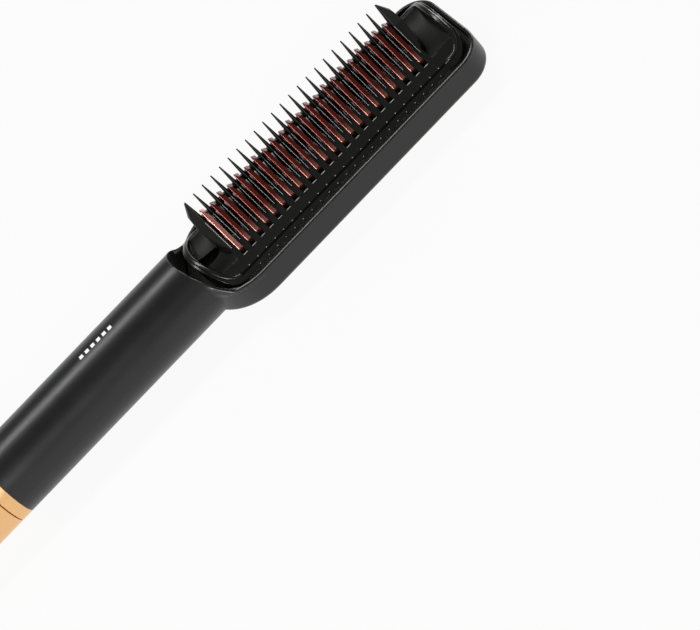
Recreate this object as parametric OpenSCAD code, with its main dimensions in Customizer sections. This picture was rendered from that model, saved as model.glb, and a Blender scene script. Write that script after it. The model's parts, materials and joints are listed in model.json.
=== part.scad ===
// Heated straightening comb: round handle with a tail dial, open head with a
// hot comb standing between guard plates. X runs from the tail to the head,
// +Z is the tooth side, and the origin lies under the middle of the length.

/* [Handle] */
// Outside diameter of the round handle
handle_d = 30; // [28.5:0.5:33]
// Length of the black handle from the collar to the recess of the head
handle_len = 100.8; // [90:0.4:130]
// Wall thickness of the two handle shells
handle_wall = 2.2; // [1.8:0.1:2.6]

/* [Tail] */
// Length of the collar ring between the handle and the dial
collar_len = 5.2; // [4.6:0.2:9]
// Length of the temperature dial
dial_len = 33; // [29:0.5:45]
// Length of the smooth band of the dial beside the collar
dial_band = 16.2; // [10:0.2:20]
// Number of flutes around the dial
flute_count = 26; // [16:2:36]
// Depth of one flute
flute_depth = 0.5; // [0.2:0.1:0.8]
// How far the cord gland stands out of the dial
gland_stand = 2; // [1:0.5:5]
// Bore of the cord gland
gland_bore = 6.2; // [5:0.2:6.6]

/* [Head] */
// Length of the head from the recess edge to the far end
head_len = 137.2; // [134:0.4:160]
// Width of the head
head_w = 47.5; // [45:0.5:54]
// Depth of the head from its rim to its back
head_depth = 11.9; // [11.5:0.1:14]
// Height of the rim above the middle of the handle
rim_rise = 0.5; // [0.2:0.1:1]
// Wall thickness of the rim
rim_wall = 1.6; // [1.3:0.1:2]
// Corner radius of the far end of the head
head_corner = 12; // [9:0.5:15]

/* [Comb] */
// Number of guard plates
tooth_count = 23; // [15:1:23]
// Distance from plate to plate
tooth_pitch = 4.5; // [4.2:0.05:4.6]
// Height of the plate tips above the middle of the handle
tooth_top = 30.1; // [27:0.1:34]
// Thickness of a guard plate at its middle
tooth_t = 2; // [1.8:0.05:2.2]
// Thickness of a guard plate along its slanted edges
tooth_edge_t = 0.5; // [0.4:0.05:0.8]
// Width of the slot that each hot fin stands in
slot_w = 2.1; // [2:0.05:2.3]
// Thickness of a hot fin
fin_t = 1.7; // [1.4:0.05:1.8]
// Height of the crown of the comb cover above the middle of the handle
crown_top = 10; // [8:0.2:11]
// Width of the comb cover at its raised part
cover_w = 37.8; // [37:0.2:38.6]

/* [Back panel] */
// Width of the gold frame
frame_w = 35.7; // [34:0.1:36.5]
// Width of the gold band of the frame
frame_band = 5.4; // [4:0.1:6]
// Distance from the far end of the head to the frame
frame_end_gap = 6.1; // [5.5:0.1:8]
// How far the frame stands proud of the back
frame_proud = 1; // [0.6:0.1:1.4]

/* [Lights] */
// Number of indicator lights
light_count = 6; // [3:1:8]
// Side of one square indicator window
light_size = 1.7; // [1.2:0.1:2]
// Distance from light to light
light_pitch = 2.95; // [2.5:0.05:3.5]
// Distance from the recess of the head to the middle of the row of lights
light_place = 39.5; // [31:0.1:51]

/* [Hidden] */

// fits and small sizes shared by the pieces
eps = 0.01;
fit_gap = 0.1;
run_gap = 0.3;
spin_fit = 0.08;
arc_cross = 0.02;
round_fn = 96;

// places along the length
overall = gland_stand + dial_len + collar_len + handle_len + head_len;
x_gland = -overall / 2;
x_dial = x_gland + gland_stand;
x_collar = x_dial + dial_len;
x_handle = x_collar + collar_len;
x_recess = x_handle + handle_len;
x_end = x_recess + head_len;

// handle, with heights counted from its middle
handle_r = handle_d / 2;
axis_z = handle_r;
bore_r = handle_r - handle_wall;
neck_r = handle_r - 1.6;
neck_bore = neck_r - 1.8;
bulkhead_t = 2;
recess_wall = 2;

// head, with heights counted from the middle of the handle
head_hw = head_w / 2;
x_near = x_recess + head_hw - rim_wall;
back_z = rim_rise - head_depth;
back_edge_r = 2.6;
ledge_step = 0.4;
ledge_inset = 3;
badge_seat_z = back_z + 1.2;
floor_t = 1.8;
floor_z = badge_seat_z + floor_t;
seat_z = -2.5;
cavity_inset = 3.9;
neck_fillet = 4;
neck_sink = 0.12;
ramp_x = x_recess - 5.8;

// comb cover
cover_hw = cover_w / 2;
flange_t = 1.5;
crown_edge = 0.2;
crown_r = (cover_hw * cover_hw + pow(crown_top - crown_edge, 2)) / (2 * (crown_top - crown_edge));
cover_wall = 2;
cover_step = 0.8;
cover_step_w = 1.6;
cover_x0 = x_recess + 4.9;
cover_x1 = x_end - 3.5;
cover_end_r = 30;
cover_corner = 8;
dish_floor = 1.5;
dish_inset = 2.4;
dish_r = 9.4;
dish_wide_r = 26;

// guard plates and fins
teeth_len = (tooth_count - 1) * tooth_pitch;
teeth_mid = (cover_x0 + cover_x1) / 2 + 0.2;
x_tooth0 = teeth_mid - teeth_len / 2;
tooth_hw = 10;
tooth_shoulder = tooth_top - 11.6;
tooth_neck_hw = 1.8;
tip_hw = 0.4;
tip_t = 0.5;
spike_edge_t = 0.4;
spike_shoulder_t = tooth_t * 0.875;
end_tooth_out = 3.9;
end_tooth_r = 16;
slot_hw = 14.3;
field_rim = 0.3;
field_drop = 0.15;
fin_hw = 12;
fin_top = tooth_shoulder + 4.2;
fin_low = tooth_shoulder + 3.1;
fin_bevel = 0.4;

// heater stack under the cover
comb_base_hw = 12;
comb_base_top = 1;
film_t = 0.3;
electrode_t = 0.3;
ptc_t = 2;
plate_t = 0.8;
ptc_hw = 6.6;
ptc_len = 24;
ptc_count = 3;
stack_hw = 7.2;
plate_hw = 10;
heater_x0 = x_tooth0 + 6;
heater_x1 = x_tooth0 + teeth_len - 6;
film1_z = seat_z - film_t;
electrode1_z = film1_z - electrode_t;
ptc_z = electrode1_z - ptc_t;
electrode2_z = ptc_z - electrode_t;
film2_z = electrode2_z - film_t;
plate_z = film2_z - plate_t;
shield_t = 0.6;
lead_w = 1.4;
wire_w = 0.9;
shield_out = 3;
shield_x0 = heater_x0 - shield_out;
fuse_r = 1.65;
fuse_len = 9;
fuse_leg = 2.5;
fuse_gap = 2.5;
fuse_x = shield_x0 - fuse_gap - fuse_leg - fuse_len;
lead_y = 4.5;
fuse_z = floor_z + fuse_r;

// screws
m2_r = 1;
m2_head_r = 1.7;
m2_head_h = 0.9;
m26_r = 1.3;
m26_head_r = 2.4;
m26_head_h = 1.1;
boss_r = 2.9;
cover_screw_x = [x_recess + 11, x_end - 9.5];
cover_screw_y = 11.5;
heater_screw_y = 8.5;
heater_screw_x = [for (i = [0:2]) heater_x0 + 4 + i * (heater_x1 - heater_x0 - 8) / 2];

// tail mechanism
spindle_r = 6;
spindle_bore = 4.4;
spindle_wide_bore = 5.2;
flange_r = 10;
drum_r = handle_r - 1.9;
drum_bore = drum_r - 0.9;
hub_r = 8;
dial_end_t = 2.6;
dial_hole_r = 8;
gland_r = 7.5;
shaft_r = spindle_bore - spin_fit;
shaft_end = x_dial + 24;
brush_end = shaft_end + 2.5;
brush_lead_z = 4.5;
clip_x = x_dial + 14.3;
carrier_x = x_collar - 8.5;
carrier_t = 4.6;
carrier_r = 11;
ball_r = 1;
ball_z = drum_bore - 0.35 - ball_r;
spring_r = 0.7;
spring_wire_r = 0.22;
spring_turns = 4;
detent_step = 30;
detent_count = 7;
mark_w = 1.6;
mark_len = 3.2;

// control board
board_t = 1.6;
board_hw = 9;
board_z = 3.4;
board_x0 = x_handle + 10;
board_x1 = x_recess - 8;
light_x = x_recess - light_place;
light_bar_w = (light_count - 1) * light_pitch + light_size + 1.6;
light_bar_hw = 3;
tongue_len = 12;
tongue_x = [x_handle + 12, light_x - 14, x_recess - 24];
triac_len = 9;
triac_hw = 5;
triac_t = 3.6;
triac_tab_len = 5;
triac_tab_t = 1.2;
triac_gap = 4.475;
triac_x = light_x + light_bar_w / 2 + triac_gap;
capacitor_r = 3.2;
capacitor_len = 12;
capacitor_x = board_x0 + 14;

// helpers

module lifted() {
  translate([0, 0, axis_z]) children();
}

module bar_x(x0, x1, r, fn = round_fn) {
  translate([x0, 0, 0]) rotate([0, 90, 0]) cylinder(h = x1 - x0, r = r, $fn = fn);
}

module tube_x(x0, x1, r_out, r_in) {
  difference() {
    bar_x(x0, x1, r_out);
    bar_x(x0 - 1, x1 + 1, r_in);
  }
}

module box(x0, x1, y0, y1, z0, z1) {
  translate([x0, y0, z0]) cube([x1 - x0, y1 - y0, z1 - z0]);
}

module upright(x, y, z0, z1, r, fn = 48) {
  translate([x, y, z0]) cylinder(h = z1 - z0, r = r, $fn = fn);
}

module revolved(points) {
  rotate([0, 90, 0]) rotate_extrude($fn = round_fn) polygon(points);
}

module slab(z0, z1) {
  translate([0, 0, z0]) linear_extrude(height = z1 - z0) children();
}

// a lead of width w at y, run through points given as X and Z, from left to right
module lead(points, y, w) {
  last = len(points) - 1;
  upper = [for (q = points) [q[0], q[1] + w / 2]];
  lower = [for (i = [0:last]) [points[last - i][0], points[last - i][1] - w / 2]];
  translate([0, y + w / 2, 0]) rotate([90, 0, 0]) linear_extrude(height = w) polygon(concat(upper, lower));
}

// outline of the head: half circle at the handle, round corners at the far end
module head_outline(inset, fn = round_fn) {
  hw = head_hw - inset;
  corner = head_corner - inset;
  xe = x_end - inset;
  translate([x_near, 0]) circle(r = hw, $fn = fn);
  translate([x_near, -hw]) square([xe - corner - x_near, 2 * hw]);
  translate([xe - corner - eps, -(hw - corner)]) square([corner + eps, 2 * (hw - corner)]);
  for (s = [-1, 1]) translate([xe - corner, s * (hw - corner)]) circle(r = corner, $fn = fn);
}

// outline with a wide arch at the handle end and round corners everywhere; the corner
// circles cross the arch's circle by a hair, because touching arcs leave tiny edges
module arch_outline(x0, x1, hw, arch_r, near_r, far_r, fn = round_fn) {
  cy = hw - near_r;
  cx = x0 + arch_r - sqrt(pow(arch_r - near_r + arc_cross, 2) - cy * cy);
  mid = x0 + arch_r;
  reach = 3 * arch_r / norm([cx - mid, cy]);
  translate([cx, -hw]) square([x1 - far_r - cx, 2 * hw]);
  translate([x1 - far_r - eps, -(hw - far_r)]) square([far_r + eps, 2 * (hw - far_r)]);
  for (s = [-1, 1]) {
    translate([x1 - far_r, s * (hw - far_r)]) circle(r = far_r, $fn = fn);
    translate([cx, s * cy]) circle(r = near_r, $fn = fn);
  }
  intersection() {
    translate([mid, 0]) circle(r = arch_r, $fn = 2 * fn);
    polygon([
      [mid, 0],
      [mid + reach * (cx - mid), reach * cy],
      [mid + reach * (cx - mid), -reach * cy]
    ]);
  }
}

module cover_outline(inset, fn = round_fn) {
  arch_outline(cover_x0 + inset, cover_x1 - inset, cover_hw - inset,
    cover_end_r - inset, cover_corner - inset, cover_corner - inset, fn);
}

module frame_outline(fn = round_fn) {
  arch_outline(x_recess + 7.1, x_end - frame_end_gap, frame_w / 2, 38, 10.5, 5.5, fn);
}

module frame_window(grow = 0, fn = round_fn) {
  arch_outline(x_recess + 7.1 + frame_band - 0.8 - grow, x_end - frame_end_gap - frame_band + 0.5 + grow,
    frame_w / 2 - frame_band + grow, 23 + grow, 6.5 + grow, 0.8 + grow, fn);
}

// the crown of the comb cover, as a round bar along the cover
module crown_bar(drop = 0) {
  translate([0, 0, crown_top - crown_r]) bar_x(x_recess, x_end, crown_r - drop, 192);
}

// handle shells

module light_windows(size, z0, z1) {
  for (i = [0:light_count - 1]) {
    x = light_x + (i - (light_count - 1) / 2) * light_pitch;
    box(x - size / 2, x + size / 2, -size / 2, size / 2, z0, z1);
  }
}

module handle_bore() {
  bar_x(x_handle + eps, x_recess - 1.5, bore_r);
}

module front_shell() {
  color("#2b2b2d") lifted() difference() {
    union() {
      intersection() {
        union() {
          difference() {
            bar_x(x_handle, x_near, handle_r);
            difference() {
              bar_x(x_handle + eps, x_near, bore_r);
              slab(-1, handle_r) head_outline(rim_wall - recess_wall);
            }
          }
          tube_x(x_collar + 1.1, x_handle + 1, neck_r, neck_bore);
          bar_x(x_handle - bulkhead_t, x_handle + eps, neck_r - 1);
        }
        box(x_collar, x_near, -handle_r, handle_r, 0, handle_r);
      }
      // tongues that locate the front shell in the rear shell
      for (x = tongue_x) intersection() {
        difference() {
          union() {
            bar_x(x, x + tongue_len, bore_r - fit_gap);
            intersection() {
              bar_x(x, x + tongue_len, bore_r + 0.5);
              box(x, x + tongue_len, -handle_r, handle_r, 0, 2.5);
            }
          }
          bar_x(x - 1, x + tongue_len + 1, bore_r - 1.2);
        }
        box(x, x + tongue_len, -handle_r, handle_r, -1.5, 2.5);
      }
    }
    slab(-handle_r, handle_r + 1) head_outline(rim_wall);
    bar_x(x_collar, x_handle + 1, spindle_r + fit_gap);
    light_windows(light_size + 0.1, board_z, handle_r + 1);
  }
}

// profile, as radius and X, of the handle's end: a round inner corner flares it into the head
module neck_profile() {
  reach = head_hw + neck_fillet;
  cy = handle_r + neck_fillet;
  cx = x_near - sqrt(reach * reach - cy * cy) + neck_sink;
  tx = cx + neck_fillet * (x_near - cx) / reach;
  ty = cy - sqrt(neck_fillet * neck_fillet - pow(tx - cx, 2));
  difference() {
    polygon([[0, ramp_x], [handle_r, ramp_x], [handle_r, cx], [ty, cx], [ty, tx + 3], [0, tx + 3]]);
    translate([cy, cx]) circle(r = neck_fillet, $fn = round_fn);
  }
}

// half section of a disc with a rounded lower edge
module edge_section(r_out, z0, z1, edge) {
  translate([r_out - edge, z0 + edge]) circle(r = edge, $fn = round_fn);
  translate([0, z0]) square([r_out - edge, z1 - z0]);
  translate([0, z0 + edge]) square([r_out, z1 - z0 - edge]);
}

module tray_section(r_out) {
  edge_section(r_out, back_z + ledge_step, rim_rise, back_edge_r);
}

module head_tray() {
  x_far = x_end - head_corner;
  y_far = head_hw - head_corner;
  translate([x_near, 0, 0]) rotate([0, 0, 90])
    rotate_extrude(angle = 180, $fn = round_fn) tray_section(head_hw);
  translate([x_near, 0, 0]) rotate([90, 0, 90]) linear_extrude(height = x_far - x_near) {
    tray_section(head_hw);
    mirror([1, 0]) tray_section(head_hw);
  }
  for (s = [0, 1]) mirror([0, s, 0]) translate([x_far, y_far, 0])
    rotate_extrude(angle = 90, $fn = round_fn) tray_section(head_corner);
  translate([x_far, y_far, 0]) rotate([90, 0, 0])
    linear_extrude(height = 2 * y_far) tray_section(head_corner);
}

module rear_handle() {
  intersection() {
    union() {
      bar_x(x_handle, ramp_x, handle_r);
      intersection() {
        rotate([0, 90, 0]) rotate_extrude($fn = round_fn) neck_profile();
        translate([ramp_x, -head_hw, 1.5]) rotate([-90, 0, 0])
          cylinder(h = head_w, r = handle_r + 1.5, $fn = 192);
      }
      tube_x(x_collar + 1.1, x_handle + 1, neck_r, neck_bore);
    }
    box(x_collar, x_near, -head_hw, head_hw, -handle_r, 0);
  }
}

module board_posts() {
  for (x = [board_x0 + 6, board_x1 - 6], s = [-1, 1]) intersection() {
    upright(x, s * 6.5, -handle_r, board_z, 1.8);
    bar_x(x - 3, x + 3, bore_r + 0.5);
  }
}

module rear_shell() {
  color("#262628") lifted() difference() {
    union() {
      difference() {
        union() {
          rear_handle();
          head_tray();
          slab(back_z, back_z + ledge_step + 1) head_outline(ledge_inset);
        }
        // handle bore and the passage for the leads into the head
        handle_bore();
        intersection() {
          bar_x(x_recess - 3, x_near - 6, bore_r);
          box(x_recess - 3, x_near, -bore_r, bore_r, floor_z, seat_z);
        }
        // room for the comb cover, and the cavity of the heater below it
        slab(seat_z, rim_rise + 1) head_outline(rim_wall);
        slab(floor_z, rim_rise + 1) head_outline(cavity_inset);
        // the front shell ends in this step of the rim
        intersection() {
          bar_x(x_handle, x_near, handle_r);
          box(x_handle, x_near, -handle_r, handle_r, 0, rim_rise + 1);
        }
        // seat of the frame and the panel in the back
        slab(back_z - 1, badge_seat_z) frame_outline();
      }
      intersection() {
        bar_x(x_handle - bulkhead_t, x_handle, neck_r - 1);
        box(x_collar, x_near, -handle_r, handle_r, -handle_r, 0);
      }
      board_posts();
      // posts that carry the heating comb and the bosses of the cover screws
      for (x = [x_tooth0 + 1.5, x_tooth0 + teeth_len - 1.5], s = [-1, 1])
        upright(x, s * (comb_base_hw - 1), floor_z - eps, seat_z, 1.6);
    }
    bar_x(x_collar, x_handle + 1, spindle_r + fit_gap);
    for (x = cover_screw_x, s = [-1, 1]) {
      upright(x, s * cover_screw_y, back_z - 1, floor_z + 1, m26_r + 0.1);
      upright(x, s * cover_screw_y, back_z - 1, badge_seat_z + m26_head_h, m26_head_r + 0.1);
    }
  }
}

// tail: collar, spindle, dial and cord swivel

module mark_line(y, x0, x1) {
  box(x0, x1, y - 0.2, y + 0.2, -handle_r - 1, -handle_r + 0.3);
}

module collar_ring() {
  color("#e2b06c") lifted() difference() {
    revolved([
      [neck_r + fit_gap, x_collar + 1], [neck_bore + 0.4, x_collar + 1],
      [neck_bore + 0.4, x_collar + run_gap / 2], [handle_r - 0.25, x_collar + run_gap / 2],
      [handle_r, x_collar + run_gap / 2 + 0.25], [handle_r, x_handle - 0.2],
      [handle_r - 0.2, x_handle], [neck_r + fit_gap, x_handle]
    ]);
    for (s = [-1, 1]) mark_line(s * mark_w / 2, x_collar - 1, x_collar + mark_len);
  }
}

module tail_spindle() {
  color("#3a3a3c") lifted() revolved([
    [spindle_bore, x_dial + 2], [spindle_r, x_dial + 2], [spindle_r, x_collar + 1.5],
    [flange_r, x_collar + 1.5], [flange_r, x_handle - bulkhead_t],
    [spindle_r, x_handle - bulkhead_t], [spindle_r, x_handle],
    [flange_r - 1, x_handle], [flange_r - 1, x_handle + 1.6],
    [spindle_wide_bore, x_handle + 1.6], [spindle_wide_bore, clip_x - 0.3],
    [spindle_bore, clip_x - 0.3]
  ]);
}

module flutes() {
  groove_r = 1.1;
  x0 = x_dial + 2.2;
  x1 = x_collar - dial_band - groove_r;
  for (i = [0:flute_count - 1]) rotate([360 * (i + 0.5) / flute_count, 0, 0])
    translate([0, 0, handle_r + groove_r - flute_depth]) {
      bar_x(x0, x1, groove_r, 24);
      translate([x1, 0, 0]) sphere(r = groove_r, $fn = 24);
      translate([x0, 0, 0]) sphere(r = groove_r, $fn = 24);
    }
}

module temperature_dial() {
  edge = 1.5;
  rim = [for (a = [0:22.5:90]) [handle_r - edge + edge * sin(a), x_dial + edge - edge * cos(a)]];
  color("#e6b573") lifted() difference() {
    revolved(concat([[dial_hole_r, x_dial]], rim, [
      [handle_r, x_collar - run_gap / 2 - 0.25], [handle_r - 0.25, x_collar - run_gap / 2],
      [drum_r + fit_gap, x_collar - run_gap / 2], [drum_r + fit_gap, x_dial + dial_end_t],
      [dial_hole_r, x_dial + dial_end_t]
    ]));
    flutes();
    // notch that lines up with the mark on the collar
    box(x_collar - 1, x_collar, -mark_w / 2 - 0.3, mark_w / 2 + 0.3, -handle_r - 1, -handle_r + 0.6);
  }
}

module dial_drum() {
  x0 = x_dial + dial_end_t;
  color("#4a4a4d") lifted() difference() {
    revolved([
      [spindle_r + spin_fit, x0], [drum_r, x0], [drum_r, x_collar - 1.8], [drum_bore, x_collar - 1.8],
      [drum_bore, x0 + 2], [hub_r, x0 + 2], [hub_r, carrier_x - 1], [spindle_r + spin_fit, carrier_x - 1]
    ]);
    for (i = [0:detent_count - 1]) rotate([-detent_step * i, 0, 0])
      translate([0, 0, drum_bore - 0.7]) bar_x(carrier_x - 0.5, carrier_x + carrier_t + 0.5, 1.2, 32);
  }
}

module contact_wiper() {
  color("#c9a24a") lifted() {
    tube_x(x_collar - 1.8, x_collar - 1.4, drum_r - 0.3, 8);
    for (a = [0, 120, 240]) rotate([a, 0, 0])
      box(x_collar - 1.5, x_collar, -0.6, 0.6, 8.4, 9.6);
  }
}

module switch_board() {
  color("#2f6b45") lifted() tube_x(x_collar + run_gap, x_collar + 1.5, flange_r + 1, spindle_r);
}

module detent_carrier() {
  color("#8d8f92") lifted() difference() {
    tube_x(carrier_x, carrier_x + carrier_t, carrier_r, spindle_r);
    upright(carrier_x + carrier_t / 2, 0, spindle_r + 0.8, carrier_r + 1, ball_r + 0.1);
  }
}

module detent_spring() {
  z0 = spindle_r + 0.8 + spring_wire_r;
  rise = ball_z - 1.02 - z0;
  color("silver") lifted() translate([carrier_x + carrier_t / 2, 0, z0]) {
    for (i = [0:spring_turns - 1]) translate([0, 0, rise * i / (spring_turns - 1)])
      rotate_extrude($fn = 32) translate([spring_r, 0]) circle(r = spring_wire_r, $fn = 16);
    translate([spring_r, 0, 0]) cylinder(h = rise, r = spring_wire_r - 0.03, $fn = 16);
  }
}

module detent_ball() {
  color("silver") lifted() translate([carrier_x + carrier_t / 2, 0, ball_z]) sphere(r = ball_r, $fn = 32);
}

module swivel_gland() {
  bore = gland_bore / 2;
  edge = 1.2;
  nose = [for (a = [0:30:90]) [gland_r - edge + edge * sin(a), x_gland + edge - edge * cos(a)]];
  color("#1f1f21") lifted() revolved(concat([[bore, x_gland]], nose, [
    [gland_r, x_dial + 2 - run_gap], [shaft_r, x_dial + 2 - run_gap],
    [shaft_r, clip_x], [shaft_r - 0.5, clip_x], [shaft_r - 0.5, shaft_end], [bore, shaft_end]
  ]));
}

module swivel_retainer() {
  color("silver") lifted() tube_x(clip_x + 0.02, clip_x + 0.8, spindle_wide_bore - run_gap, shaft_r - 0.5);
}

slip_x = [clip_x + 2.6, clip_x + 6];

module slip_rings() {
  color("#c9a24a") lifted() for (x = slip_x) tube_x(x, x + 2, shaft_r, shaft_r - 0.5);
}

module contact_brushes() {
  color("#b98f3e") lifted() for (i = [0, 1]) rotate([180 * i, 0, 0]) intersection() {
    tube_x(slip_x[i], brush_end, spindle_wide_bore, spindle_wide_bore - 0.5);
    box(slip_x[i], brush_end, -1.2, 1.2, 0, spindle_r);
  }
}

// guard plates, comb cover and heating comb

// height of the crown at the distance y from its middle
function crown_z(y) = crown_top - crown_r + sqrt(crown_r * crown_r - y * y);

// a flat outline drawn in Y and Z, with its thickness t along X
module upright_plate(t) {
  rotate([90, 0, 90]) translate([0, 0, -t / 2]) linear_extrude(height = t) children();
}

// the same for an outline drawn in X and Z, from side to side
module cross_plate(hw) {
  rotate([90, 0, 0]) translate([0, 0, -hw]) linear_extrude(height = 2 * hw) children();
}

// keeps what lies behind a slanted edge that runs from (y0, z0) to (y1, z1); the section
// across the edge is drawn as depth and width
module edge_cut(y0, z0, y1, z1) {
  reach = 60;
  translate([0, y0, z0]) rotate([-atan2(y1 - y0, z1 - z0), 0, 0]) rotate([0, 0, 90])
    translate([0, 0, -reach]) linear_extrude(height = 2 * reach) children();
}

// section of a blade: thin at its edge, full thickness t from the depth full on
module blade_section(edge_t, t, full) {
  polygon([[0, -edge_t / 2], [full, -t / 2], [50, -t / 2], [50, t / 2], [full, t / 2], [0, edge_t / 2]]);
}

// body whose two slanted edges are both cut to a blade, from (y0, z0) on the near side
module double_blade(y0, z0, y1, z1, edge_t, t, full) {
  intersection() {
    children();
    edge_cut(y0, z0, y1, z1) blade_section(edge_t, t, full);
    mirror([0, 1, 0]) edge_cut(y0, z0, y1, z1) blade_section(edge_t, t, full);
  }
}

// one guard plate at x = 0: a flared foot and a slender spike, both with thin edges
module guard_tooth() {
  base_z = crown_top - 4;
  foot_z = crown_z(tooth_hw);
  apex_z = foot_z + (tooth_shoulder - foot_z) * tooth_hw / (tooth_hw - tooth_neck_hw);
  spike_slope = (tooth_neck_hw - tip_hw) / (tooth_top - tooth_shoulder);
  spike_hw = tooth_neck_hw + spike_slope * (tooth_shoulder - base_z);
  double_blade(-tooth_hw, foot_z, -tooth_neck_hw, tooth_shoulder, tooth_edge_t, tooth_t, 4)
    upright_plate(tooth_t) polygon([
      [-tooth_hw, base_z], [tooth_hw, base_z], [tooth_hw, foot_z], [0, apex_z], [-tooth_hw, foot_z]
    ]);
  double_blade(-spike_hw, base_z, -tip_hw, tooth_top, spike_edge_t, tooth_t, 1.4) intersection() {
    upright_plate(tooth_t) polygon([
      [-spike_hw, base_z], [spike_hw, base_z], [tip_hw, tooth_top], [-tip_hw, tooth_top]
    ]);
    cross_plate(tooth_hw) polygon([
      [-tooth_t / 2, base_z], [tooth_t / 2, base_z], [spike_shoulder_t / 2, tooth_shoulder],
      [tip_t / 2, tooth_top], [-tip_t / 2, tooth_top], [-spike_shoulder_t / 2, tooth_shoulder]
    ]);
  }
}

// the outer side of an end plate: a thick, round back that stands on the dish beside it
module end_back(side) {
  foot_z = crown_z(tooth_hw);
  intersection() {
    upright_plate(2 * end_tooth_out + 2) polygon([
      [-tooth_hw, seat_z + 1], [tooth_hw, seat_z + 1], [tooth_hw, foot_z - 0.7],
      [tooth_neck_hw, tooth_shoulder - 0.5], [tip_hw + 0.1, tooth_top - 0.3],
      [-tip_hw - 0.1, tooth_top - 0.3], [-tooth_neck_hw, tooth_shoulder - 0.5], [-tooth_hw, foot_z - 0.7]
    ]);
    slab(seat_z + 1, tooth_top) intersection() {
      translate([-side * (end_tooth_r - end_tooth_out), 0]) circle(r = end_tooth_r, $fn = 180);
      translate([side > 0 ? 0.2 : -end_tooth_out - 1, -slot_hw]) square([end_tooth_out + 0.8, 2 * slot_hw]);
    }
    cross_plate(slot_hw) polygon([
      [0, seat_z + 1], [side * (end_tooth_out + 0.5), seat_z + 1],
      [side * (end_tooth_out - 0.2), tooth_shoulder], [side * (end_tooth_out - 0.7), tooth_top - 6.8],
      [side * (end_tooth_out - 1.9), tooth_top - 3.9], [side * tip_hw, tooth_top - 0.1], [0, tooth_top - 0.1]
    ]);
  }
}

module guard_plates() {
  x_last = x_tooth0 + teeth_len;
  color("#20211d") lifted() difference() {
    union() {
      for (i = [0:tooth_count - 1]) translate([x_tooth0 + i * tooth_pitch, 0, 0]) guard_tooth();
      translate([x_tooth0, 0, 0]) end_back(-1);
      translate([x_last, 0, 0]) end_back(1);
    }
    crown_bar(field_drop);
  }
}

// hollow beside an end tooth, with a floor that is round both ways
module dish(x0, x1) {
  intersection() {
    slab(dish_floor - 1, crown_top + 1) cover_outline(dish_inset);
    translate([(x0 + x1) / 2, cover_hw, dish_floor + dish_r]) rotate([90, 0, 0])
      cylinder(h = cover_w, r = dish_r, $fn = 192);
    translate([0, 0, dish_floor + dish_wide_r]) bar_x(x0, x1, dish_wide_r, 192);
  }
}

module comb_cover() {
  x_last = x_tooth0 + teeth_len;
  color("#20211d") lifted() difference() {
    union() {
      difference() {
        union() {
          slab(seat_z, seat_z + flange_t) head_outline(rim_wall + run_gap);
          intersection() {
            slab(seat_z, crown_top + 1) cover_outline(0);
            crown_bar(cover_step);
          }
          intersection() {
            slab(seat_z, crown_top + 1) cover_outline(cover_step_w);
            crown_bar(0);
          }
        }
        // slightly sunk field that holds the slots
        difference() {
          box(x_tooth0 - end_tooth_out - field_rim, x_last + end_tooth_out + field_rim,
            -slot_hw - field_rim, slot_hw + field_rim, 0, crown_top + 1);
          crown_bar(field_drop);
        }
        dish(cover_x0, x_tooth0 - 1);
        dish(x_last + 1, cover_x1);
        // slots for the fins
        for (i = [0:tooth_count - 2]) {
          x = x_tooth0 + (i + 0.5) * tooth_pitch;
          box(x - slot_w / 2, x + slot_w / 2, -slot_hw, slot_hw, seat_z - 1, crown_top + 1);
        }
      }
      // feet of the two end plates, down in the dishes
      intersection() {
        union() {
          translate([x_tooth0, 0, 0]) end_back(-1);
          translate([x_last, 0, 0]) end_back(1);
        }
        crown_bar(field_drop);
      }
      for (x = cover_screw_x, s = [-1, 1])
        upright(x, s * cover_screw_y, floor_z + fit_gap, seat_z + eps, boss_r);
    }
    // room under the crown for the base of the heating comb
    difference() {
      intersection() {
        box(x_tooth0 - 1, x_last + 1, -comb_base_hw - 1, comb_base_hw + 1, seat_z - 1, crown_top);
        crown_bar(cover_wall);
      }
      // ribs that hold the base down
      for (s = [-1, 1])
        box(x_tooth0 - 2, x_last + 2, s * 11 - 0.6, s * 11 + 0.6, comb_base_top + 0.05, crown_top);
    }
    for (x = cover_screw_x, s = [-1, 1])
      upright(x, s * cover_screw_y, floor_z - 1, -0.5, m26_r + 0.05);
  }
}

// one hot fin at x = 0, with a bevel along the tail side of its slanted edges
module fin(top) {
  half_t = fin_t / 2;
  foot_z = crown_z(fin_hw);
  section = [[fin_bevel, -half_t], [60, -half_t], [60, half_t], [0, half_t], [0, fin_bevel - half_t]];
  intersection() {
    upright_plate(fin_t) polygon([
      [-fin_hw, 0], [fin_hw, 0], [fin_hw, foot_z], [tip_hw, top], [-tip_hw, top], [-fin_hw, foot_z]
    ]);
    edge_cut(-fin_hw, foot_z, -tip_hw, top) mirror([0, 1]) polygon(section);
    mirror([0, 1, 0]) edge_cut(-fin_hw, foot_z, -tip_hw, top) mirror([0, 1]) polygon(section);
    cross_plate(fin_hw + 1) polygon([
      [-half_t, 0], [half_t, 0], [half_t, top - 2.4], [0.3 - half_t, top], [-half_t, top - 0.6]
    ]);
  }
}

module heating_comb() {
  x_last = x_tooth0 + teeth_len;
  foot_w = slot_w - 0.2;
  color("#8a4a35") lifted() difference() {
    union() {
      box(x_tooth0, x_last, -comb_base_hw, comb_base_hw, seat_z, comb_base_top);
      for (i = [0:tooth_count - 2]) translate([x_tooth0 + (i + 0.5) * tooth_pitch, 0, 0]) {
        fin(i % 2 == 0 ? fin_top : fin_low);
        box(-foot_w / 2, foot_w / 2, -comb_base_hw, comb_base_hw, 0, crown_z(comb_base_hw) - 0.8);
      }
    }
    for (x = heater_screw_x, s = [-1, 1])
      upright(x, s * heater_screw_y, seat_z - 1, comb_base_top - 0.8, m2_r + 0.05);
  }
}

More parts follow.
